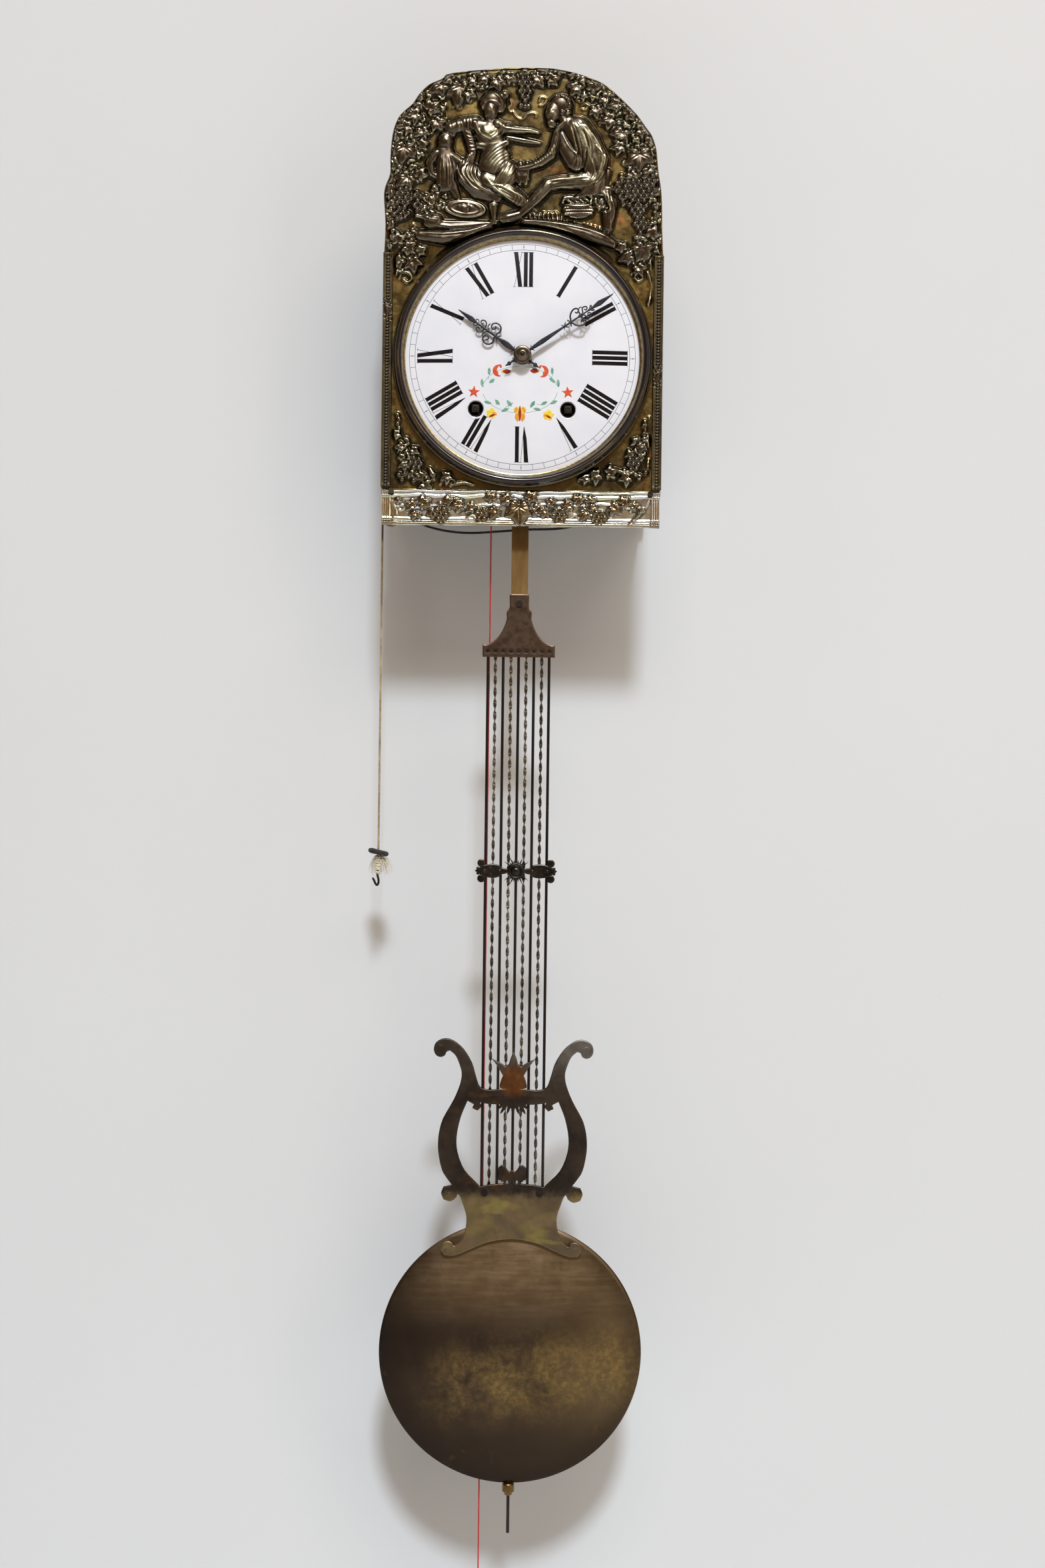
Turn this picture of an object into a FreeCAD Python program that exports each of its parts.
import FreeCAD, Part
import os, math
from FreeCAD import Vector as V

os.makedirs("parts", exist_ok=True)

# ---------------------------------------------------------------- driving dimensions (mm)
ZD = -125.0            # height of the dial centre below the wall-hook hole
Y_REAR = -14.0         # rear edge of the cage plates (the wall is y = 0)
Y_FRONT = -150.0       # front edge of the cage plates
CAGE_HW = 118.0        # half width of the cage plates
Z_BOT, Z_TOP = -128.0, 105.0      # underside of the bottom plate, upper face of the top plate
T_PLATE = 4.0
HOOK_R = 6.0           # wall-hook hole
BAR_X = 43.0           # half spacing of the two trains
BARR_Z = -49.0         # height of the winding arbors
DRUM_R = 22.0
DRUM_FLANGE = 25.0
CORD_R = 1.1           # hemp weight cord
DIAL_R = 112.0         # enamel plate
BEZEL_R = 121.6
BEZEL_IN = 109.4
PIV_Z = 92.0           # pendulum and anchor axis
PY = -131.0            # contact plane between the pendulum's straps and its front plates
BOB_Z, BOB_R, BOB_Y, BOB_T = -936.0, 124.2, -124.0, 14.0
ROLL_X, ROLL_Z, CORD_Y = -125.4, -141.0, -80.0
ROLL_PATH = 8.1        # radius of the cord's centre line on the guide roller
REP_X, REP_Y = -28.0, -100.5

nodes = {}


def add(name, *shapes):
    s = [a for a in shapes]
    nodes[name] = s


# ---------------------------------------------------------------- helpers, heights relative to the dial centre
def box(x0, x1, y0, y1, z0, z1):
    x0, x1 = sorted((x0, x1)); y0, y1 = sorted((y0, y1)); z0, z1 = sorted((z0, z1))
    return Part.makeBox(x1 - x0, y1 - y0, z1 - z0, V(x0, y0, z0))


def cyl_y(x, z, r, y0, y1):
    y0, y1 = sorted((y0, y1))
    return Part.makeCylinder(r, y1 - y0, V(x, y0, z), V(0, 1, 0))


def cyl_z(x, y, r, z0, z1):
    z0, z1 = sorted((z0, z1))
    return Part.makeCylinder(r, z1 - z0, V(x, y, z0), V(0, 0, 1))


def cyl_x(y, z, r, x0, x1):
    x0, x1 = sorted((x0, x1))
    return Part.makeCylinder(r, x1 - x0, V(x0, y, z), V(1, 0, 0))


def prism(pts, y0, y1):
    """Closed outline in the XZ plane, extruded along Y."""
    y0, y1 = sorted((y0, y1))
    p = [V(x, y0, z) for x, z in pts]
    return Part.Face(Part.makePolygon(p + [p[0]])).extrude(V(0, y1 - y0, 0))


def prism_z(pts, z0, z1):
    """Closed outline in the XY plane, extruded along Z."""
    z0, z1 = sorted((z0, z1))
    p = [V(x, y, z0) for x, y in pts]
    return Part.Face(Part.makePolygon(p + [p[0]])).extrude(V(0, 0, z1 - z0))


def revolve_y(profile, x, z):
    """Profile of (radius, y) turned about the axis through (x, z) along Y."""
    p = [V(x + r, y, z) for r, y in profile]
    f = Part.Face(Part.makePolygon(p + [p[0]]))
    return f.revolve(V(x, 0, z), V(0, 1, 0), 360)


def revolve_z(profile, x, y):
    """Profile of (radius, z) turned about the vertical axis through (x, y)."""
    p = [V(x + r, y, z) for r, z in profile]
    f = Part.Face(Part.makePolygon(p + [p[0]]))
    return f.revolve(V(x, y, 0), V(0, 0, 1), 360)


def fuse(*s):
    out = s[0]
    for a in s[1:]:
        out = out.fuse(a)
    return out.removeSplitter()


def cut(a, *s):
    for b in s:
        a = a.cut(b)
    return a


def ring_y(x, z, r0, r1, y0, y1):
    return cyl_y(x, z, r1, y0, y1).cut(cyl_y(x, z, r0, y0 - 1, y1 + 1))


def gear_outline(n, m, phase, kind, cx, cz):
    """Straight-flanked teeth, thinner than half the pitch so that they run free."""
    rp = n * m / 2.0
    p = 2 * math.pi / n
    if kind == "wheel":
        add_, ded, wt, wr = 0.95 * m, 1.25 * m, 0.10, 0.245
    else:
        add_, ded, wt, wr = 0.62 * m, 1.30 * m, 0.10, 0.150
    pts = []
    for i in range(n):
        a = phase + i * p
        for r, w in ((rp - ded, -wr), (rp + add_, -wt), (rp + add_, wt), (rp - ded, wr)):
            t = a + w * p
            pts.append((cx + r * math.cos(t), cz + r * math.sin(t)))
    return pts


def wheel(n, m, phase, cx, cz, y0, y1, bore, spokes=5, hub=None, rim=None):
    g = prism(gear_outline(n, m, phase, "wheel", cx, cz), y0, y1)
    rp = n * m / 2.0 - 1.25 * m
    rim = rim or rp - 4.0
    hub = hub or 8.0
    tools = []
    if spokes:
        for k in range(spokes):
            a0 = phase + 2 * math.pi * k / spokes
            half_o = math.pi / spokes - 2.2 / rim
            half_i = math.pi / spokes - 3.0 / hub
            pts = []
            for j in range(9):
                t = a0 - half_o + 2 * half_o * j / 8
                pts.append((cx + rim * math.cos(t), cz + rim * math.sin(t)))
            for j in range(4):
                t = a0 + half_i - 2 * half_i * j / 3
                pts.append((cx + hub * math.cos(t), cz + hub * math.sin(t)))
            tools.append(prism(pts, y0 - 1, y1 + 1))
    if bore:
        tools.append(cyl_y(cx, cz, bore, y0 - 1, y1 + 1))
    return cut(g, *tools)


def pinion(n, m, phase, cx, cz, y0, y1, bore=0):
    g = prism(gear_outline(n, m, phase, "pinion", cx, cz), y0, y1)
    return g.cut(cyl_y(cx, cz, bore, y0 - 1, y1 + 1)) if bore else g


def mesh_phase(a, b, nb):
    """Phases that put a tooth of the first wheel in a gap of the second."""
    t = math.atan2(b[1] - a[1], b[0] - a[0])
    return t, t + math.pi + math.pi / nb


def tube(points, r, name=""):
    """Straight runs joined by tangent arcs, as large as the two runs allow."""
    P = [V(*p) for p in points]
    n = len(P)
    edges = []
    prev = P[0]
    total = 0.0
    for i in range(1, n - 1):
        a, b = (P[i - 1] - P[i]), (P[i + 1] - P[i])
        la, lb = a.Length, b.Length
        a.normalize(); b.normalize()
        turn = math.pi - math.acos(max(-1, min(1, a.dot(b))))
        R = 0.45 * min(la, lb) / math.tan(turn / 2)
        t = 0.45 * min(la, lb)
        s, e = P[i] + a * t, P[i] + b * t
        bis = (a + b); bis.normalize()
        c = P[i] + bis * (R / math.cos(turn / 2))
        mid = c - bis * R
        edges.append(Part.LineSegment(prev, s).toShape())
        edges.append(Part.Arc(s, mid, e).toShape())
        total += (s - prev).Length + R * turn
        prev = e
        print("  %s arc %d: radius %.1f mm, turn %.1f deg" % (name, i, R, math.degrees(turn)))
    edges.append(Part.LineSegment(prev, P[-1]).toShape())
    total += (P[-1] - prev).Length
    wire = Part.Wire(edges)
    d = P[1] - P[0]
    prof = Part.Wire([Part.Circle(P[0], d, r).toShape()])
    s = wire.makePipeShell([prof], True, False, 2)
    print("  %s length %.1f mm, volume ratio %.4f" % (name, total, s.Volume / (math.pi * r * r * total)))
    return s


# ---------------------------------------------------------------- train layout (x, z of each arbor)
C = (0.0, 0.0)
G = (BAR_X, BARR_Z)
S = (-BAR_X, BARR_Z)
T = (43.0, 28.0)
E = (0.0, 56.0)
A = (0.0, PIV_Z)
P_ = (-46.0, 18.0)
W = (-43.0, 60.0)
F = (-43.0, 86.0)
M = (0.0, 28.0)


def dist(a, b):
    return math.hypot(a[0] - b[0], a[1] - b[1])


N_GW, N_CP = 80, 10          # going great wheel : centre pinion
N_CW, N_TP = 75, 10          # centre wheel : third pinion
N_TW, N_EP = 80, 10          # third wheel : escape pinion
N_SW, N_PP = 80, 10          # strike great wheel : pin-wheel pinion
N_PW, N_WP = 72, 8           # pin wheel : warning pinion
N_WW, N_FP = 64, 8           # warning wheel : fly pinion
N_MP, N_MW = 14, 42          # minute pinion : minute wheel
N_HP, N_HW = 10, 40          # hour pinion : hour wheel


def mod(a, b, na, nb):
    return 2 * dist(a, b) / (na + nb)


# ---------------------------------------------------------------- cage
ear = lambda s, z0, z1: box(s * 117, s * 125, -26, -14, z0, z1)
bottom = box(-CAGE_HW, CAGE_HW, Y_FRONT, Y_REAR, Z_BOT, Z_BOT + T_PLATE)
bottom = fuse(bottom, ear(1, Z_BOT, Z_BOT + T_PLATE), ear(-1, Z_BOT, Z_BOT + T_PLATE))
top = box(-CAGE_HW, CAGE_HW, Y_FRONT, Y_REAR, Z_TOP - T_PLATE, Z_TOP)
top = fuse(top, ear(1, Z_TOP - T_PLATE, Z_TOP), ear(-1, Z_TOP - T_PLATE, Z_TOP))
DOOR_PX, DOOR_PY = 121.5, -20.0
HAM = (-98.0, -38.0)         # hammer arbor (x, y)
RACK = (-68.0, -38.5)        # rack centre (x, y)
zb0, zb1 = Z_BOT - 2, Z_BOT + T_PLATE + 2
zt0, zt1 = Z_TOP - T_PLATE - 2, Z_TOP + 2
bottom = cut(
    bottom,
    cyl_z(DOOR_PX, DOOR_PY, 2.05, zb0, zb1), cyl_z(-DOOR_PX, DOOR_PY, 2.05, zb0, zb1),
    cyl_z(HAM[0], HAM[1], 2.25, zb0, zb1),
    box(RACK[0] - 2.4, RACK[0] + 2.4, RACK[1] - 1.9, RACK[1] + 1.9, zb0, zb1),
    box(-30, 30, -137.5, -124, zb0, zb1),                       # slot for the swinging strap
    cyl_z(67.5, CORD_Y, 4.0, zb0, zb1),                         # way out for the right cord
    cyl_z(-112.0, -104.0, 1.6, zb0, zb1),                       # eye for its hook end
    cyl_z(REP_X, REP_Y, 2.5, zb0, zb1),                         # way out for the repeat cord
)
H_BELL = (0.0, -80.0)
top = cut(
    top,
    cyl_z(DOOR_PX, DOOR_PY, 2.05, zt0, zt1), cyl_z(-DOOR_PX, DOOR_PY, 2.05, zt0, zt1),
    cyl_z(HAM[0], HAM[1], 2.25, zt0, zt1),
    box(RACK[0] - 2.4, RACK[0] + 2.4, RACK[1] - 1.9, RACK[1] + 1.9, zt0, zt1),
    box(-8, 8, -136, -127, zt0, zt1),                           # slot for the suspension spring
)
add("bottom_plate", bottom)
add("top_plate", top)
posts = []
for sx in (-1, 1):
    for y0 in (Y_FRONT, Y_REAR - 12):
        posts.append(box(sx * 106, sx * 118, y0, y0 + 12, Z_BOT + T_PLATE, Z_TOP - T_PLATE))
add("corner_posts", *posts)

FB0, FB1 = -112.0, -107.0     # front pivot bars
RB0, RB1 = -34.0, -29.0       # rear pivot bars
zc0, zc1 = Z_BOT + T_PLATE, Z_TOP - T_PLATE


def bar(x, y0, y1, holes):
    b = box(x - 8, x + 8, y0, y1, zc0, zc1)
    for (hx, hz), r in holes:
        b = b.cut(cyl_y(hx, hz, r, y0 - 1, y1 + 1))
    return b


going_holes = [(G, 4.05), (T, 2.05)]
centre_holes = [(C, 2.55), (E, 2.05), (A, 2.05)]
strike_holes = [(S, 4.05), (P_, 2.05), (W, 2.05), (F, 1.55)]
bridge = box(-118, 118, -138, -135.5, 20, 36)
bridge = fuse(bridge, box(-7, 7, -138, -135.5, -9, 21))
bridge = bridge.cut(cyl_y(0, 0, 3.05, -140, -133))
stud = cyl_y(M[0], M[1], 2.0, -148, -137)
bridge = fuse(bridge, stud)
lever_stud = cyl_y(-43, -100, 2.0, FB1, -97)
front_strike = fuse(bar(-BAR_X, FB0, FB1, strike_holes), lever_stud)
add("front_bars", bar(BAR_X, FB0, FB1, going_holes), bar(0, FB0, FB1, centre_holes), front_strike, bridge)
add("rear_bars", bar(BAR_X, RB0, RB1, going_holes), bar(0, RB0, RB1, centre_holes), bar(-BAR_X, RB0, RB1, strike_holes))
add("back_plate", box(-CAGE_HW, CAGE_HW, Y_REAR, Y_REAR + 1.2, Z_BOT, Z_TOP))

# hanging strap: an angle on the top plate, the hole is the model's origin
strap = fuse(box(-15, 15, -3, 0, Z_TOP, 143), box(-15, 15, -42, 0, Z_TOP, Z_TOP + 3))
strap = cut(strap, cyl_y(0, -ZD, HOOK_R, -5, 2))
add("hanging_strap", strap)
spurs = []
for sx in (-1, 1):
    foot = box(sx * 90 - 6, sx * 90 + 6, Y_REAR + 1.2, Y_REAR + 3.2, -118, -98)
    spike = Part.makeCone(2.5, 0.5, 10.8, V(sx * 90, Y_REAR + 3.2, -108), V(0, 1, 0))
    spurs.append(fuse(foot, spike))
add("wall_spurs", *spurs)

# ---------------------------------------------------------------- front
left = [(-129.8, 124), (-131.5, 151), (-130.4, 159), (-126, 171), (-126, 183), (-125.4, 197), (-123.2, 212.5), (-117.4, 226),
        (-105.6, 237), (-100, 245.6), (-90.6, 255), (-77.7, 261), (-74.7, 264.5), (-58, 267.6), (-34, 270), (-11.5, 271.6)]
right = [(21.8, 271.6), (34.3, 270), (45.8, 267.6), (59, 263.4), (72.8, 257.6), (88.3, 245), (104, 229.6), (113, 217.5),
         (119, 209), (123, 196), (125, 177), (128, 158), (129, 139), (129.4, 120)]
outline = [(-130.5, Z_BOT)] + [(-130.5, 98)] + left + right + [(130.5, 98), (130.5, Z_BOT)]
sheet = prism(outline, Y_FRONT - 1.2, Y_FRONT)
sheet = sheet.cut(cyl_y(0, 0, 104, Y_FRONT - 3, Y_FRONT + 2))
# pressed ground of the pediment and its rolled edge
inner = [(x * 0.955, 98 + (z - 98) * 0.965) for x, z in left + right]
press = prism(inner + [(118.0, 112.0), (-118.0, 112.0)], Y_FRONT - 5.0, Y_FRONT - 1.2)
press = press.cut(cyl_y(0, 0, 123.0, Y_FRONT - 8, Y_FRONT))
rim = prism(left + right + [(129.4, 112), (-129.8, 112)], Y_FRONT - 3.4, Y_FRONT - 1.2)
rim = rim.cut(cyl_y(0, 0, 123.0, Y_FRONT - 8, Y_FRONT))
sheet = fuse(sheet, rim, press)
# mean height of the pressed figures, of the ground they sit on and of the vines at both sides
YG = Y_FRONT - 4.9
raised = [
    (-161.0, [(-38.3, 246.3), (-25.0, 247.7), (-19.9, 235.5), (-22.2, 220.2), (-14.1, 207.1), (-9.8, 192.0), (4.3, 169.6), (3.3, 142.9),
              (-11.8, 137.7), (-35.0, 149.3), (-61.7, 150.2), (-64.1, 163.5), (-84.9, 159.0), (-91.1, 185.4), (-86.4, 204.7),
              (-73.4, 214.6), (-48.9, 221.2), (-41.7, 232.8)]),
    (-161.0, [(18.0, 241.5), (41.8, 242.9), (45.4, 222.5), (61.9, 213.5), (77.9, 191.2), (77.7, 168.3), (60.2, 150.6), (33.4, 153.5),
              (22.3, 145.5), (3.7, 131.5), (-15.1, 125.2), (-23.0, 130.6), (-6.3, 144.5), (8.4, 162.2), (13.7, 171.9), (9.6, 181.3),
              (24.4, 193.2), (28.6, 212.4), (19.7, 219.7)]),
    (-159.5, [(-99.1, 128.0), (-76.9, 147.8), (-38.8, 149.1), (-32.6, 134.1), (-22.8, 124.9), (-49.1, 114.5), (-87.0, 108.4), (-98.5, 112.8)]),
    (-159.5, [(35.6, 144.0), (65.8, 152.7), (81.0, 155.1), (85.5, 134.3), (68.8, 122.3), (38.1, 127.0)]),
    (-158.0, [(-122.0, 118.0), (-121.0, 176.0), (-119.0, 200.0), (-112.0, 222.0), (-98.0, 238.0), (-84.0, 236.0), (-90.0, 212.0),
              (-98.0, 196.0), (-98.0, 160.0), (-106.0, 136.0), (-106.0, 118.0)]),
    (-158.0, [(122.0, 118.0), (121.0, 160.0), (117.0, 192.0), (110.0, 214.0), (88.0, 234.0), (72.0, 240.0), (80.0, 214.0),
              (88.0, 196.0), (88.0, 160.0), (96.0, 136.0), (104.0, 118.0)]),
]
for yf, pts in raised:
    sheet = fuse(sheet, prism(pts, yf, YG).cut(cyl_y(0, 0, 123.0, Y_FRONT - 20, Y_FRONT)))
for sx in (-1, 1):
    for sz in (-118.5,):
        sheet = sheet.cut(cyl_y(sx * 121, sz, 1.6, Y_FRONT - 2, Y_FRONT + 1))
add("front_sheet", sheet)
YS = Y_FRONT - 1.2
mould = []
for sx in (-1, 1):
    base = box(sx * 121.9, sx * 131.2, YS - 3.0, YS, -122.0, 97.0)
    mould.append(fuse(base, cyl_z(sx * 126.5, YS - 3.0, 2.0, -121.5, 96.5)))
add("side_mouldings", *mould)
fr = box(-130, 130, YS - 4.0, YS, -157.5, -123.5)
for sx in (-1, 1):
    fr = fr.cut(cyl_y(sx * 121, -126.0, 1.6, YS - 6, YS + 1))
fr = fr.cut(cyl_y(0, 0, 122.2, YS - 6, YS + 1))
fr = fuse(fr, cyl_x(YS - 4.0, -155.5, 1.9, -130, 130))
add("lower_frieze", fr)

bez = [(BEZEL_IN, YS - 4.0), (BEZEL_IN, YS - 6.0), (110.8, YS - 6.6), (112.0, YS - 8.4), (113.4, YS - 11.2), (115.2, YS - 12.6),
       (117.2, YS - 12.4), (118.8, YS - 10.6), (119.6, YS - 7.6), (120.6, YS - 5.6), (BEZEL_R, YS - 4.6), (BEZEL_R, YS), (112.6, YS),
       (112.6, YS - 4.0)]
add("dial_bezel", revolve_y(bez, 0, 0))


def dome(r):
    return 6.2 * (1 - (r / DIAL_R) ** 2)


prof = []
K = 14
for i in range(K + 1):
    r = 7.0 + (DIAL_R - 7.0) * i / K
    prof.append((r, YS - 3.4 - dome(r)))
for i in range(K, -1, -1):
    r = 7.0 + (DIAL_R - 7.0) * i / K
    prof.append((r, YS - 1.4 - dome(r)))
dial = revolve_y(prof, 0, 0)
for x in (-BAR_X, BAR_X):
    dial = dial.cut(cyl_y(x, BARR_Z, 7.2, YS - 20, YS + 5))
rim_ring = ring_y(0, 0, 108.0, DIAL_R - 0.4, YS - 1.4, YS)
add("enamel_dial", dial, rim_ring)

scr = []
for sx in (-1, 1):
    scr.append(fuse(cyl_y(sx * 121, -126.0, 1.5, YS - 4, YS), cyl_y(sx * 121, -126.0, 2.6, YS - 5.4, YS - 4)))
    scr.append(fuse(cyl_z(sx * 9, -34, 2.6, Z_TOP + 3, Z_TOP + 4.6)))
add("case_screws", *scr)

# ---------------------------------------------------------------- bell, hammer
bo, bi = [], []
for i in range(13):
    t = i / 12.0
    r = 55.0 * math.sin(t * math.pi / 2) ** 0.9 if i else 0.0
    z = 118.0 + 36.0 * math.cos(t * math.pi / 2) ** 0.85
    bo.append((max(r, 3.05), z))
    bi.append((max(r - 2.4, 3.05), z - (2.6 if i < 12 else 0.0)))
bo[-1] = (55.0, 118.0)
bi[-1] = (52.6, 118.0)
bell_prof = bo + bi[::-1]
clean = [bell_prof[0]]
for q in bell_prof[1:]:
    if math.hypot(q[0] - clean[-1][0], q[1] - clean[-1][1]) > 0.05:
        clean.append(q)
add("bell", revolve_z(clean, *H_BELL))
ztop = 154.0
stand = fuse(cyl_z(*H_BELL, 3.0, Z_TOP, 160), cyl_z(*H_BELL, 9.0, Z_TOP, Z_TOP + 4),
             cyl_z(*H_BELL, 6.0, Z_TOP, ztop - 2.9))
nut = cut(cyl_z(*H_BELL, 6.0, ztop, ztop + 4.0), cyl_z(*H_BELL, 3.0, ztop - 1, ztop + 5))
add("bell_stand", stand, nut)

# the head meets the rim square on when the arm is tangent to the rim
hb, hr = H_BELL, 62.2
ab = math.hypot(HAM[0] - hb[0], HAM[1] - hb[1])
ang = math.atan2(HAM[1] - hb[1], HAM[0] - hb[0]) + math.acos(hr / ab)
HH = (hb[0] + hr * math.cos(ang), hb[1] + hr * math.sin(ang))
print("hammer head at", HH, "arm", math.hypot(HH[0] - HAM[0], HH[1] - HAM[1]))
d = (HH[0] - HAM[0], HH[1] - HAM[1]); L = math.hypot(*d); u = (d[0] / L, d[1] / L); nn = (-u[1], u[0])
arm = prism_z([(HAM[0] + nn[0] * 2 - u[0] * 4, HAM[1] + nn[1] * 2 - u[1] * 4), (HH[0] + nn[0] * 2, HH[1] + nn[1] * 2),
               (HH[0] - nn[0] * 2, HH[1] - nn[1] * 2), (HAM[0] - nn[0] * 2 - u[0] * 4, HAM[1] - nn[1] * 2 - u[1] * 4)], 118, 122)
tail = box(HAM[0] - 2, HAM[0] + 20, -38.8, -37.2, 64, 72)
hammer = fuse(cyl_z(*HAM, 2.2, Z_BOT, 122), arm, cyl_z(*HH, 5.5, 114, 128), tail,
              cyl_z(*HAM, 3.4, Z_BOT + T_PLATE + 0.3, Z_BOT + T_PLATE + 3))
add("hammer", hammer)

# ---------------------------------------------------------------- side doors
for nm, sx in (("left_door", -1), ("right_door", 1)):
    z0, z1 = Z_BOT + T_PLATE + 0.5, Z_TOP - T_PLATE - 0.5
    s = fuse(box(sx * 120.9, sx * 122.1, -147, DOOR_PY, z0, z1), cyl_z(sx * DOOR_PX, DOOR_PY, 3.0, z0, z1),
             cyl_z(sx * DOOR_PX, DOOR_PY, 2.0, Z_BOT, Z_TOP),
             cyl_x(-140, 0, 3.2, sx * 122.1, sx * 124.6))
    if sx < 0:                                                  # the left cord leaves through this notch
        s = s.cut(box(-130, -116, CORD_Y - 5, CORD_Y + 5, Z_BOT, -112))
    add(nm, s)

# ---------------------------------------------------------------- winding drums with their great wheels
mG = mod(G, C, N_GW, N_CP)
mS = mod(S, P_, N_SW, N_PP)
phG, phCP = mesh_phase(G, C, N_CP)
phS, phPP = mesh_phase(S, P_, N_PP)
N_R = 24


def ratchet(cx, cz, y0, y1, sgn):
    pts = []
    for i in range(N_R):
        a = 2 * math.pi * i / N_R
        pts.append((cx + 20.0 * math.cos(a), cz + 20.0 * math.sin(a)))
        b = a + sgn * 2 * math.pi / N_R * 0.96
        pts.append((cx + 17.4 * math.cos(b), cz + 17.4 * math.sin(b)))
    if sgn < 0:
        pts = []
        for i in range(N_R):
            a = -2 * math.pi * i / N_R
            pts.append((cx + 20.0 * math.cos(a), cz + 20.0 * math.sin(a)))
            b = a - 2 * math.pi / N_R * 0.96
            pts.append((cx + 17.4 * math.cos(b), cz + 17.4 * math.sin(b)))
    return prism(pts, y0, y1)


def drum(c, wheel_front, sgn):
    x, z = c
    parts_ = [cyl_y(x, z, DRUM_R, -88, -52), cyl_y(x, z, DRUM_FLANGE, -90, -88), cyl_y(x, z, DRUM_FLANGE, -52, -50)]
    parts_.append(ratchet(x, z, -92.6, -90, sgn) if wheel_front else ratchet(x, z, -50, -47.4, sgn))
    parts_.append(cyl_y(x, z, 4.0, RB1 - 1, -118))
    sq = box(x - 3, x + 3, -161.5, -117, z - 3, z + 3)
    parts_.append(sq)
    return fuse(*parts_)


add("going_drum", drum(G, True, 1))
add("strike_drum", drum(S, False, -1))
gw = wheel(N_GW, mG, phG, G[0], G[1], -96, -93, 4.05, spokes=5, hub=37.0, rim=mG * N_GW / 2 - 7)
gw = fuse(gw, ring_y(G[0], G[1], 4.05, 9, -99, -96))
sw = wheel(N_SW, mS, phS, S[0], S[1], -47, -44, 4.05, spokes=5, hub=37.0, rim=mS * N_SW / 2 - 7)
sw = fuse(sw, ring_y(S[0], S[1], 4.05, 9, -44, -41))
CLK = 27.0      # radius of the click's pivot


def click(c, ang, y0, y1, py0, py1, sgn):
    """Click on a stud of the great wheel; its nose stands just off the ratchet's tips."""
    x, z = c
    px, pz = x + CLK * math.cos(ang), z + CLK * math.sin(ang)
    a2 = ang + sgn * 0.50
    tip = (x + 20.6 * math.cos(a2), z + 20.6 * math.sin(a2))
    out = (x + 24.4 * math.cos(a2), z + 24.4 * math.sin(a2))
    o2 = (x + 30.4 * math.cos(ang), z + 30.4 * math.sin(ang))
    i2 = (x + 23.6 * math.cos(ang), z + 23.6 * math.sin(ang))
    body = fuse(prism([i2, tip, out, o2], y0, y1), cyl_y(px, pz, 3.4, y0, y1))
    body = body.cut(cyl_y(px, pz, 1.55, y0 - 1, y1 + 1))
    stud_ = cyl_y(px, pz, 1.5, py0, py1)
    return body, stud_, (px, pz)


def spring(c, ang, y0, y1, sgn):
    """Flat click spring, a bent strip riveted to the great wheel."""
    x, z = c
    pts = []
    for r in (33.6, 32.8):
        row = [(x + r * math.cos(ang - sgn * t), z + r * math.sin(ang - sgn * t)) for t in (-0.42, -0.28, -0.14, 0, 0.14)]
        pts += row if r > 33 else row[::-1]
    return prism(pts, y0, y1)


ck, st, GCP = click(G, 2.2, -92.7, -90.6, -93, -90.4, 1)
gw = fuse(gw, st, spring(G, 2.2, -93, -91.4, 1))
add("going_great_wheel", gw)
add("going_click", ck)
ck, st, SCP = click(S, 0.9, -49.4, -47.3, -49.6, -47, -1)
sw = fuse(sw, st, spring(S, 0.9, -48.6, -47, -1))
add("strike_great_wheel", sw)
add("strike_click", ck)
print("click pivots", GCP, SCP)

# ---------------------------------------------------------------- going train
mC = mod(C, T, N_CW, N_TP)
phCW, phTP = mesh_phase(C, T, N_TP)
mT = mod(T, E, N_TW, N_EP)
phTW, phEP = mesh_phase(T, E, N_EP)
mM = mod(C, M, N_MP, N_MW)
phMW, phMP = mesh_phase(M, C, N_MP)
mH = mod(M, C, N_HP, N_HW)
phHW, phHP = mesh_phase(C, M, N_HP)
centre = fuse(
    cyl_y(0, 0, 2.5, RB1 - 1, -118), cyl_y(0, 0, 3.0, -118, -169.6), cyl_y(0, 0, 2.0, -169, -174),
    wheel(N_CW, mC, phCW, 0, 0, -104, -102, 0, hub=9), cyl_y(0, 0, 5, -104, -99),
    pinion(N_CP, mG, phCP, 0, 0, -98, -91),
    pinion(N_MP, mM, phMP, 0, 0, -141.5, -138.4),
)
add("centre_arbor", centre)
third = fuse(cyl_y(T[0], T[1], 2.0, RB1 - 1, FB0 + 1), pinion(N_TP, mC, phTP, T[0], T[1], -106, -100),
             wheel(N_TW, mT, phTW, T[0], T[1], -60, -58, 0, hub=8), cyl_y(T[0], T[1], 4.5, -64, -58))
add("third_wheel", third)
esc_pts = []
N_ES, R_ES = 30, 25.0
for i in range(N_ES):
    a = 2 * math.pi * i / N_ES
    p = 2 * math.pi / N_ES
    for r, w in ((R_ES - 4.2, 0.0), (R_ES, 0.62), (R_ES, 0.70), (R_ES - 4.2, 0.78)):
        t = a + w * p
        esc_pts.append((E[0] + r * math.cos(t), E[1] + r * math.sin(t)))
esc = prism(esc_pts, -80, -78)
for k in range(5):
    a = 2 * math.pi * k / 5
    pts = []
    for j in range(7):
        t = a - 0.46 + 0.92 * j / 6
        pts.append((E[0] + 18 * math.cos(t), E[1] + 18 * math.sin(t)))
    for j in range(3):
        t = a + 0.3 - 0.6 * j / 2
        pts.append((E[0] + 7.5 * math.cos(t), E[1] + 7.5 * math.sin(t)))
    esc = esc.cut(prism(pts, -82, -77))
esc = fuse(esc, cyl_y(E[0], E[1], 2.0, RB1 - 1, FB0 + 1), cyl_y(E[0], E[1], 4.2, -78, -74), pinion(N_EP, mT, phEP, E[0], E[1], -63, -55))
add("escape_wheel", esc)
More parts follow.
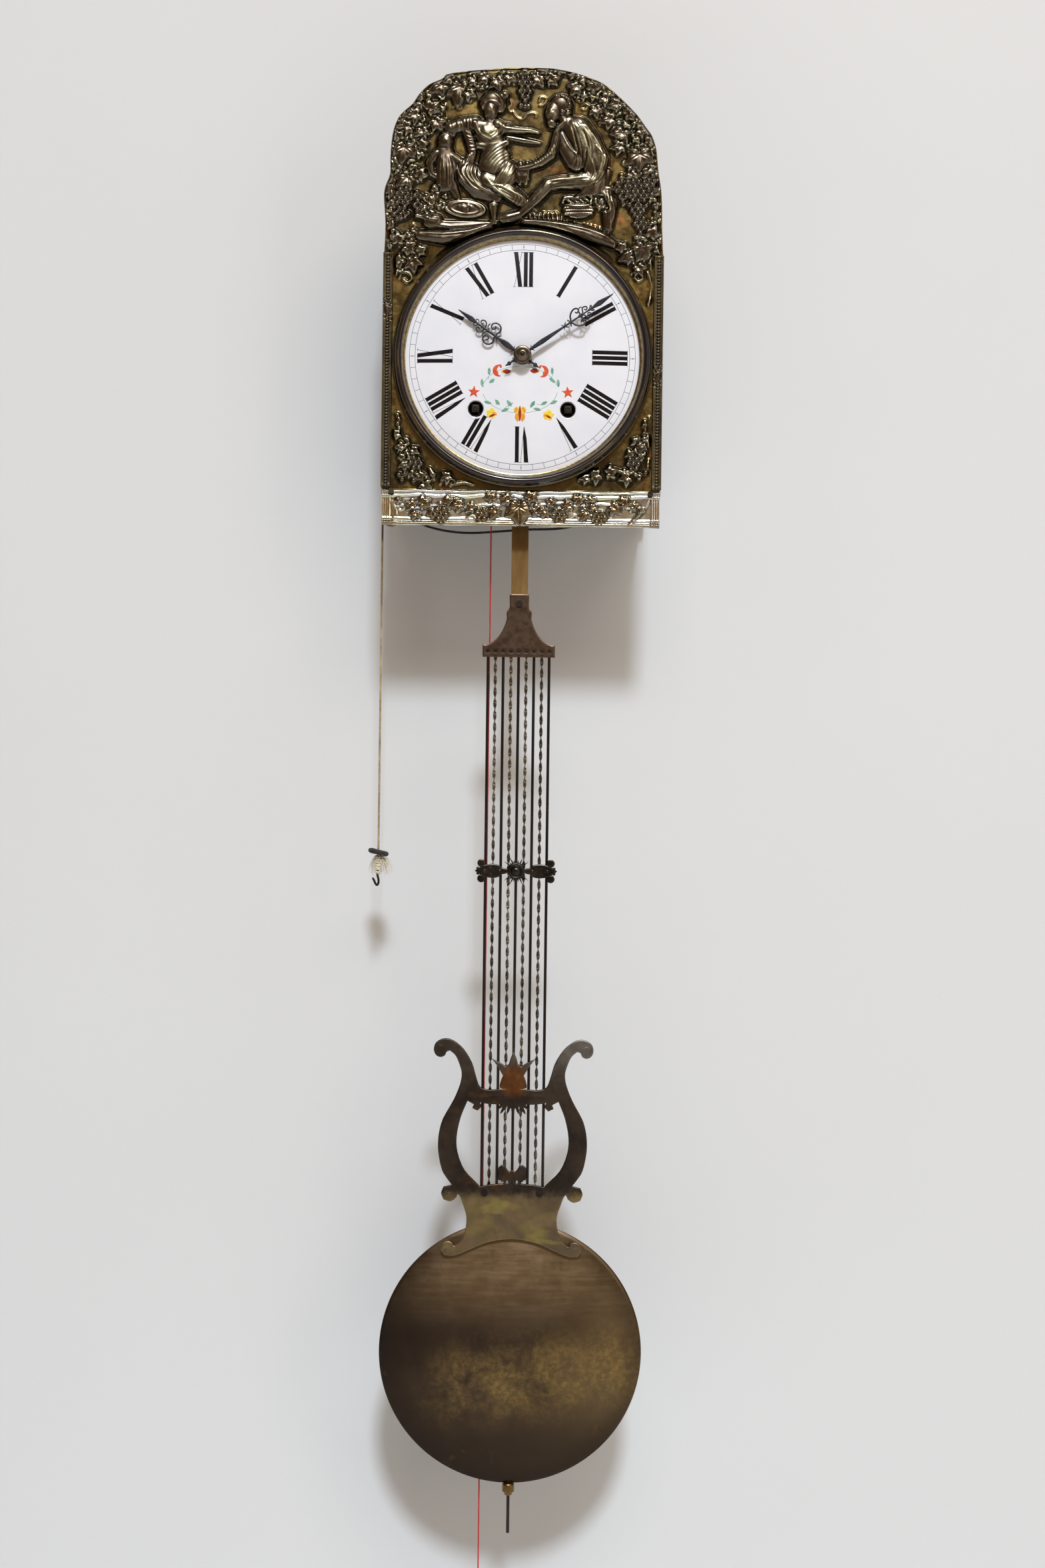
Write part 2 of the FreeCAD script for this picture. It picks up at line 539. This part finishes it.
anchor_pts = [(-3, 96), (3, 96), (9, 91), (19, 83), (25.5, 74), (22.6, 72.6), (20.6, 77.4), (13, 82.6), (5.5, 86.6), (0, 87.4),
              (-5.5, 86.6), (-13, 82.6), (-20.6, 77.4), (-22.6, 72.6), (-25.5, 74), (-19, 83), (-9, 91)]
crutch = fuse(box(-2.5, 2.5, -122, -119.5, 56, 94), cyl_y(0, PIV_Z, 4.5, -122, -119.5), box(-7.4, 7.4, -122, -119.5, 56, 62),
              box(4.6, 7.0, -134, -119.5, 56, 62), box(-7.0, -4.6, -134, -119.5, 56, 62))
anchor = fuse(prism(anchor_pts, -80.4, -77.6), cyl_y(0, PIV_Z, 2.0, RB1 - 1, -120), cyl_y(0, PIV_Z, 4.0, -84, -76), crutch)
add("anchor", anchor)

# ---------------------------------------------------------------- motion work and hands
mw = fuse(wheel(N_MW, mM, phMW, M[0], M[1], -141.2, -138.6, 2.05, spokes=4, hub=6.5), pinion(N_HP, mH, phHP, M[0], M[1], -146.4, -141.2, 2.05))
add("minute_wheel", mw)
hw = wheel(N_HW, mH, phHW, 0, 0, -145.6, -143.2, 3.05, spokes=4, hub=6.5)
hw = fuse(hw, ring_y(0, 0, 3.05, 4.6, -165.6, -142.4))
add("hour_wheel", hw)


def hand_frame(ang, pts):
    """Points (along, across) turned to a clock angle measured clockwise from 12."""
    s, c = math.sin(ang), math.cos(ang)
    return [(a * s + b * c, a * c - b * s) for a, b in pts]


def hand(ang, length, tail_, y0, y1, bore, scale):
    a = math.radians(ang)
    half = [(-tail_, 0.0), (-tail_ * 0.75, 1.5), (-9.0, 1.3), (-7.2, 4.6)]
    hub_r = 8.0
    neck = [(7.2, 4.2), (9.5, 1.7), (0.20 * length, 2.2), (0.30 * length, 4.6 * scale), (0.38 * length, 4.4 * scale), (0.45 * length, 1.8),
            (0.48 * length, 3.4), (0.50 * length, 1.8), (0.53 * length, 5.6 * scale), (0.60 * length, 9.0 * scale), (0.67 * length, 8.2 * scale),
            (0.73 * length, 4.0 * scale), (0.77 * length, 2.0), (0.80 * length, 3.2), (0.83 * length, 1.6), (length, 0.35)]
    up = [(p[0], p[1]) for p in half[1:] + neck]
    pts = [(-tail_, 0.0)] + up + [(p[0], -p[1]) for p in up[::-1]]
    body = prism(hand_frame(a, pts), y0, y1)
    win = [(0.545 * length, 0.0), (0.575 * length, 4.4 * scale), (0.62 * length, 6.2 * scale), (0.665 * length, 5.2 * scale), (0.70 * length, 2.2 * scale),
           (0.715 * length, 0.0)]
    win = win + [(p[0], -p[1]) for p in win[-2:0:-1]]
    body = body.cut(prism(hand_frame(a, win), y0 - 1, y1 + 1))
    body = fuse(body, cyl_y(0, 0, hub_r, y0, y1))
    return body.cut(cyl_y(0, 0, bore, y0 - 1, y1 + 1))


hh = hand(305.0, 73.0, 19.0, -164.8, -163.2, 4.6, 1.0)
add("hour_hand", hh)
mh = hand(55.5, 101.0, 19.0, -169.6, -168.2, 3.0, 0.92)
add("minute_hand", mh)
nutp = [(2.0, -169.6), (6.4, -169.6), (6.4, -171.0), (5.2, -172.6), (4.6, -174.4), (2.9, -175.6), (2.0, -175.8)]
add("hand_nut", revolve_y(nutp, 0, 0))

# ---------------------------------------------------------------- strike train
mP = mod(P_, W, N_PW, N_WP)
phPW, phWP = mesh_phase(P_, W, N_WP)
mW = mod(W, F, N_WW, N_FP)
phWW, phFP = mesh_phase(W, F, N_FP)
pins = [cyl_y(P_[0] + 29.0 * math.cos(2 * math.pi * k / 8), P_[1] + 29.0 * math.sin(2 * math.pi * k / 8), 1.0, -70, -64) for k in range(8)]
pw = fuse(cyl_y(P_[0], P_[1], 2.0, RB1 - 1, FB0 + 1), pinion(N_PP, mS, phPP, P_[0], P_[1], -49.5, -41.5),
          wheel(N_PW, mP, phPW, P_[0], P_[1], -72, -69.6, 0, hub=8, rim=25.0), *pins)
add("pin_wheel", pw)
ww = fuse(cyl_y(W[0], W[1], 2.0, RB1 - 1, FB0 + 1), pinion(N_WP, mP, phWP, W[0], W[1], -76, -66),
          wheel(N_WW, mW, phWW, W[0], W[1], -60, -58, 0, spokes=4, hub=5.5, rim=18.4), cyl_y(W[0] + 20.4, W[1], 0.7, -58.5, -53))
add("warning_wheel", ww)
fly = fuse(cyl_y(F[0], F[1], 1.5, RB1 - 1, FB0 + 1), pinion(N_FP, mW, phFP, F[0], F[1], -63, -55), cyl_y(F[0], F[1], 2.4, -103, -81),
           box(F[0] - 13, F[0] + 13, -103, -81, F[1] - 0.4, F[1] + 0.4))
add("fly", fly)
rp = [(-1.9, -136), (1.9, -136), (1.9, -90)]
for i in range(12):
    z = -88 + i * 7.2
    rp += [(1.9, z), (-0.1, z), (1.9, z + 5.4)]
rp += [(1.9, 108), (-1.9, 108)]
clean = [rp[0]]
for q in rp[1:]:
    if math.hypot(q[0] - clean[-1][0], q[1] - clean[-1][1]) > 0.05:
        clean.append(q)
add("rack", prism([(RACK[0] + x, z) for x, z in clean], RACK[1] - 1.5, RACK[1] + 1.5))
lev = prism([(-92, -97), (-92, -101), (-50, -104.5), (-36, -104.5), (-25.5, -102.4), (-25.5, -97.6), (-36, -95.5), (-50, -95.5)], -102, -99)
lev = fuse(lev, cyl_y(-43, -100, 5.0, -102, -99))
lev = cut(lev, cyl_y(-43, -100, 2.05, -104, -95), cyl_z(REP_X, REP_Y, 0.9, -108, -90))
add("repeat_lever", lev)

# ---------------------------------------------------------------- suspension and pendulum
cock = fuse(box(-12, 12, -137, -120, Z_TOP, Z_TOP + 3), box(-12, -6.2, -137, -127, Z_TOP, 113), box(6.2, 12, -137, -127, Z_TOP, 113),
            box(-12, 12, -137, -134.0, Z_TOP, 113))
cock = cut(cock, box(-6.2, 6.2, -134, -126, Z_TOP - 1, 120))
add("suspension_cock", cock)
YP0, YP1 = PY - 2.0, PY                 # plates in front of the straps and rods
spr = fuse(box(-4, 4, PY - 0.7, PY - 0.3, 80, 108), box(-5, 5, YP0, YP1, 76, 84))
add("suspension_spring", spr)
st_pts_low = box(-7.9, 7.9, PY, PY + 1.6, -218.5, -14)
st_ring = ring_y(0, 0, 12.0, 17.5, PY, PY + 1.6)
st_up = box(-4, 4, PY, PY + 1.6, 14, 84)
pst = fuse(st_pts_low.cut(cyl_y(0, 0, 12.0, PY - 1, PY + 3)), st_ring, st_up.cut(cyl_y(0, 0, 12.0, PY - 1, PY + 3)))
tongue = prism([(-7.9, -218.5), (7.9, -218.5), (7.9, -262), (-7.9, -262)], PY, PY + 1.6)
pst = fuse(pst, tongue)
add("pendulum_strap", pst)
hp = [(-8.2, -218.8), (8.2, -218.8), (9.2, -221), (9.2, -232), (11.8, -236), (11.8, -243), (16, -254), (22, -262), (30, -266.8), (34.2, -266.8),
      (34.2, -278.5), (-34.2, -278.5), (-34.2, -266.8), (-30, -266.8), (-22, -262), (-16, -254), (-11.8, -243), (-11.8, -236), (-9.2, -232),
      (-9.2, -221)]
head = prism(hp, YP0, YP1)
head = head.cut(cyl_y(0, -228, 2.0, YP0 - 1, YP1 + 1))
for i in range(9):
    head = head.cut(cyl_y((i - 4) * 7.3, -272.7, 0.9, YP0 - 1, YP1 + 1))
add("head_plate", head)
RY = PY + 1.35
steel = [cyl_z(x, RY, 1.35, -785, -267 if abs(x) > 8 else -262.4) for x in (-28.9, -14.5, 0, 14.5, 28.9)]
steel.append(cyl_z(0, BOB_Y, 1.5, -1107.6, -806))
add("steel_rods", *steel)
# twisted flat wires: stacked, slightly turned lengths of the same section
tw = []
for x in (-21.9, -7.2, 7.2, 21.9):
    zt = -267.0
    seg = [(-1.7, -0.5), (1.7, -0.5), (1.7, 0.5), (-1.7, 0.5)]
    tw.append(cyl_z(x, PY + 1.25, 1.25, -785, zt if abs(x) > 9 else -267.0))
add("twisted_wires", *tw)

mc = []
half = [(39, 0), (36.6, 2.2), (36.4, 4.6), (35.6, 7.6), (33.5, 11.0), (30.4, 9.6), (30.0, 6.2), (26, 7.2), (20, 7.6), (15.4, 6.2), (14.2, 8.6), (12.2, 11.0),
        (9.4, 13.0), (6.4, 14.4), (3.2, 15.0), (0, 15.2)]
cpts = half + [(-x, z) for x, z in half[-2::-1]] + [(-x, -z) for x, z in half[1:]] + [(x, -z) for x, z in half[-2:0:-1]]
CZ = -480.4
collar = prism([(x, CZ + z) for x, z in cpts], YP0, YP1)
collar = cut(collar, cyl_y(0, CZ, 1.5, YP0 - 1, YP1 + 1))
for sx in (-1, 1):
    for sz in (-1, 1):
        collar = collar.cut(cyl_y(sx * 24.0, CZ + sz * 3.2, 0.9, YP0 - 1, YP1 + 1))
button = fuse(cyl_y(0, CZ, 1.5, YP0, YP1), revolve_y([(0.01, YP0 - 3.2), (2.2, YP0 - 2.8), (3.6, YP0 - 1.4), (4.2, YP0 - 1.0), (6.5, YP0 - 0.8), (6.5, YP0), (0.01, YP0)], 0, CZ))
add("middle_collar", collar, button)

outer = [(50.6, -651.2), (59.5, -653), (63.3, -656), (70.0, -656), (74.8, -648), (70.0, -640.6), (62.6, -639.2), (54, -645), (46.5, -655), (40.2, -666),
         (36.0, -676), (33.6, -684.6)]
# horn inner edge, then the arm down to the base (offset from the axis, height)
arm_out = [(70.0, -640.2), (75.0, -646.0), (74.6, -652.6), (69.0, -656.0), (62.0, -655.2), (54.8, -658.8), (50.4, -665), (48.8, -672), (50.2, -682), (56.2, -697),
           (65.6, -714), (68.8, -724), (70.2, -734), (70.0, -746), (66.3, -763.4), (60.6, -772.4), (56.8, -777.2)]
arm_in = [(31.0, -777.6), (44.8, -763.4), (51.8, -746.4), (52.8, -732), (49.2, -713.6), (42.9, -697.8), (37.0, -701.0), (38.4, -704.6), (33.5, -707.0), (29.4, -703.0),
          (31.4, -699.0), (22, -700.6), (8, -700.8), (0, -700.8)]
top_in = [(0, -684.6), (8, -684.4), (20, -685.6), (31, -685.0), (34.2, -677), (39.1, -661.8), (47.3, -648.6), (56.0, -641.4), (63.0, -638.9)]


def px(pts, s):
    return [(s * x, z) for x, z in pts]


def symmetric(y0, y1, path):
    pts = path + [(-x, z) for x, z in path[::-1]]
    out = [pts[0]]
    for q in pts[1:]:
        if math.hypot(q[0] - out[-1][0], q[1] - out[-1][1]) > 0.05:
            out.append(q)
    if math.hypot(out[0][0] - out[-1][0], out[0][1] - out[-1][1]) < 0.05:
        out.pop()
    return prism(out, y0, y1)


base_out = [(56.8, -777.2), (64.6, -779.0), (66.6, -785.0), (64.6, -791.0), (58.5, -792.8), (51.6, -790.0), (47.6, -795.0), (43.4, -803.0), (42.4, -809.0),
            (44.6, -819.0), (51.0, -829.0), (57.0, -832.8), (63.6, -833.6), (66.8, -838.6), (64.0, -843.8), (57.0, -844.4), (42.0, -837.6), (22.0, -830.0), (0.0, -827.8)]
upper = top_in + arm_out + base_out
lyre = symmetric(YP0, YP1, upper)
win = [(0, -700.8)] + arm_in[::-1][1:] + [(31.0, -779.8), (0, -780.0)]
lyre = lyre.cut(symmetric(YP0 - 1, YP1 + 1, win))
palm = [(0, -650.6), (3.4, -658), (5.0, -664), (12.5, -659.5), (21, -657), (15.6, -663.2), (12.6, -668.4), (16.8, -671.6), (16.4, -678), (10.8, -684.6), (10.6, -684.9),
        (0, -686)]
pal = symmetric(YP0, YP1, palm)
for sx in (-1, 1):
    pal = pal.cut(Part.makeCylinder(3.2, 6, V(sx * 11.4, YP0 - 1, -676), V(0, 1, 0)))
rays = symmetric(YP0, YP1, [(0, -700.0), (14.4, -700.0), (13.6, -704.6), (9.6, -709.4), (4.6, -712.4), (0, -713.2)])
bow = symmetric(YP0, YP1, [(0, -763), (3.4, -764), (4.6, -760.4), (8.2, -759.8), (12.0, -762.6), (12.2, -766.8), (9.2, -770.2), (16, -773.6), (28, -776.2), (34.0, -779.0), (34.0, -783.0),
                         (0, -783.0)])
lyre = fuse(lyre, pal, rays, bow, box(-6, 6, PY, BOB_Y + 3, -806, -796))
for sx in (-1, 1):
    lyre = lyre.cut(cyl_y(sx * 26, -784.4, 1.5, YP0 - 1, YP1 + 1))
add("lyre_plate", lyre)
bp = []
K = 16
for i in range(K + 1):
    r = BOB_R * i / K
    bp.append((max(r, 0.01), BOB_Y - 1.2 - (BOB_T - 1.2) * (1 - (r / BOB_R) ** 2)))
bp2 = [(r, 2 * BOB_Y - y) for r, y in bp[::-1]]
bob = revolve_y(bp + bp2, 0, BOB_Z)
bob = bob.cut(cyl_z(0, BOB_Y, 1.55, BOB_Z - BOB_R - 5, BOB_Z + BOB_R + 5))
add("bob", bob)
zn = BOB_Z - BOB_R
nutr = [(1.55, zn - 0.1), (5.4, zn - 0.1), (5.8, zn - 1.2), (5.8, zn - 6.6), (5.2, zn - 7.6), (3.2, zn - 8.4), (3.0, zn - 11.0), (1.55, zn - 11.4)]
add("rating_nut", revolve_z(nutr, 0, BOB_Y))
ps = [fuse(cyl_y(0, -228, 2.0, YP0, YP1), cyl_y(0, -228, 3.0, YP0 - 1.5, YP0))]
for i in range(9):
    x = (i - 4) * 7.3
    ps.append(fuse(cyl_y(x, -272.7, 0.9, YP0, YP1), cyl_y(x, -272.7, 1.5, YP0 - 0.8, YP0)))
for sx in (-1, 1):
    ps.append(fuse(cyl_y(sx * 26, -784.4, 1.5, YP0, YP1), cyl_y(sx * 26, -784.4, 3.2, YP0 - 1.4, YP0)))
    for sz in (-1, 1):
        ps.append(fuse(cyl_y(sx * 24.0, CZ + sz * 3.2, 0.9, YP0, YP1), cyl_y(sx * 24.0, CZ + sz * 3.2, 1.3, YP0 - 0.7, YP0)))
add("pendulum_screws", *ps)

# ---------------------------------------------------------------- cords
cheeks = []
br = box(-128.6, -104, CORD_Y - 9, CORD_Y - 7, -147, Z_BOT)
br2 = box(-128.6, -104, CORD_Y + 7, CORD_Y + 9, -147, Z_BOT)
pinr = cyl_y(ROLL_X, ROLL_Z, 1.5, CORD_Y - 8, CORD_Y + 8)
back_strip = box(-106, -104, CORD_Y - 9, CORD_Y + 9, -147, Z_BOT)
add("roller_bracket", fuse(br, br2, back_strip, pinr))
rl = [(1.55, CORD_Y - 5), (9.2, CORD_Y - 5), (9.2, CORD_Y - 3.4), (6.8, CORD_Y - 1.3), (6.8, CORD_Y + 1.3), (9.2, CORD_Y + 3.4), (9.2, CORD_Y + 5), (1.55, CORD_Y + 5)]
add("guide_roller", revolve_y(rl, ROLL_X, ROLL_Z))

DP = DRUM_R + CORD_R + 0.5
cd, cr = V(S[0], CORD_Y, S[1]), V(ROLL_X, CORD_Y, ROLL_Z)
dv = cr - cd
base_ang = math.atan2(dv.z, dv.x)
off = math.acos((DP - ROLL_PATH) / dv.Length)
na = base_ang - off
nvec = V(math.cos(na), 0, math.sin(na))
p0, p1 = cd + nvec * DP, cr + nvec * ROLL_PATH
am = (na % (2 * math.pi) + math.pi) / 2
pm = cr + V(math.cos(am), 0, math.sin(am)) * ROLL_PATH
p2 = cr + V(-ROLL_PATH, 0, 0)
w = Part.Wire([Part.LineSegment(p0, p1).toShape(), Part.Arc(p1, pm, p2).toShape()])
inner_cord = w.makePipeShell([Part.Wire([Part.Circle(p0, p1 - p0, CORD_R).toShape()])], True, False, 2)
print("inner cord", p0, p1, p2, inner_cord.Volume / (math.pi * CORD_R ** 2 * ((p1 - p0).Length + ROLL_PATH * abs(math.pi - na % (2 * math.pi)))))
add("strike_cord_inner", inner_cord)
HX = ROLL_X - ROLL_PATH
Z_DISC = -463.0
add("strike_cord", cyl_z(HX, CORD_Y, CORD_R, Z_DISC, ROLL_Z))
disc = Part.makeCylinder(10.2, 5.4, V(0, 0, -2.7), V(0, 0, 1)).cut(Part.makeCylinder(CORD_R, 20, V(0, 0, -10), V(0, 0, 1)))
disc = revolve_z([(0.01, Z_DISC - 5.6), (8.6, Z_DISC - 5.6), (10.2, Z_DISC - 4.2), (10.2, Z_DISC - 1.6), (8.6, Z_DISC), (0.01, Z_DISC)], HX, CORD_Y)
add("stop_disc", disc)
zk = Z_DISC - 5.6
knot = revolve_z([(0.01, zk), (3.0, zk), (4.3, zk - 3), (4.2, zk - 15), (3.2, zk - 18.5), (0.01, zk - 18.5)], HX, CORD_Y)
add("cord_knot", knot)
zh = zk - 18.5
hook_pts = [V(HX, CORD_Y, zh), V(HX, CORD_Y, zh - 6.0)]
r_h = 4.6
c_h = V(HX - r_h, CORD_Y, zh - 6.0)
arc = Part.Arc(V(HX, CORD_Y, zh - 6.0), V(HX - r_h + r_h * math.cos(-math.radians(75)), CORD_Y, zh - 6.0 + r_h * math.sin(-math.radians(75))),
               V(HX - r_h + r_h * math.cos(-math.radians(170)), CORD_Y, zh - 6.0 + r_h * math.sin(-math.radians(170))))
hw_ = Part.Wire([Part.LineSegment(hook_pts[0], hook_pts[1]).toShape(), arc.toShape()])
hook = hw_.makePipeShell([Part.Wire([Part.Circle(hook_pts[0], V(0, 0, -1), 1.2).toShape()])], True, False, 2)
add("weight_hook", hook)

GCR = 1.3
going_route = [(68.4, -79.6, -52.0), (67.0, -80.4, -94.0), (67.8, -80.2, -134.0), (55.0, -82.0, -147.5), (36.0, -85.0, -151.8), (8.0, -88.5, -152.6), (-22.0, -92.0, -155.6),
               (-50.0, -96.0, -158.2), (-74.0, -99.5, -156.4), (-95.0, -102.0, -151.0), (-108.0, -103.6, -143.0), (-112.0, -104.0, -131.0), (-112.0, -104.0, -125.0)]
add("going_cord", tube(going_route, GCR, "going cord"))
REP_R = 0.7
Z_REP0, Z_REP1 = -103.4, -1196.0
add("repeat_cord", cyl_z(REP_X, REP_Y, REP_R, Z_REP1, Z_REP0))
add("repeat_bead", revolve_z([(0.01, Z_REP1), (2.0, Z_REP1), (4.6, Z_REP1 - 3), (5.4, Z_REP1 - 7), (4.6, Z_REP1 - 11), (2.0, Z_REP1 - 14), (0.01, Z_REP1 - 14)], REP_X, REP_Y))

# ---------------------------------------------------------------- write
bad = 0
for name, shapes in nodes.items():
    solids = []
    for s in shapes:
        solids += s.Solids
    for s in solids:
        if not s.isValid() or s.Volume <= 0:
            print("BAD", name, s.isValid(), s.Volume)
            bad += 1
    out = solids[0] if len(solids) == 1 else Part.makeCompound(solids)
    out.translate(V(0, 0, ZD))
    out.exportStep("parts/%s.step" % name)
    if len(solids) != len(shapes):
        print("note", name, len(shapes), "shapes,", len(solids), "solids")
print(len(nodes), "nodes,", bad, "bad")
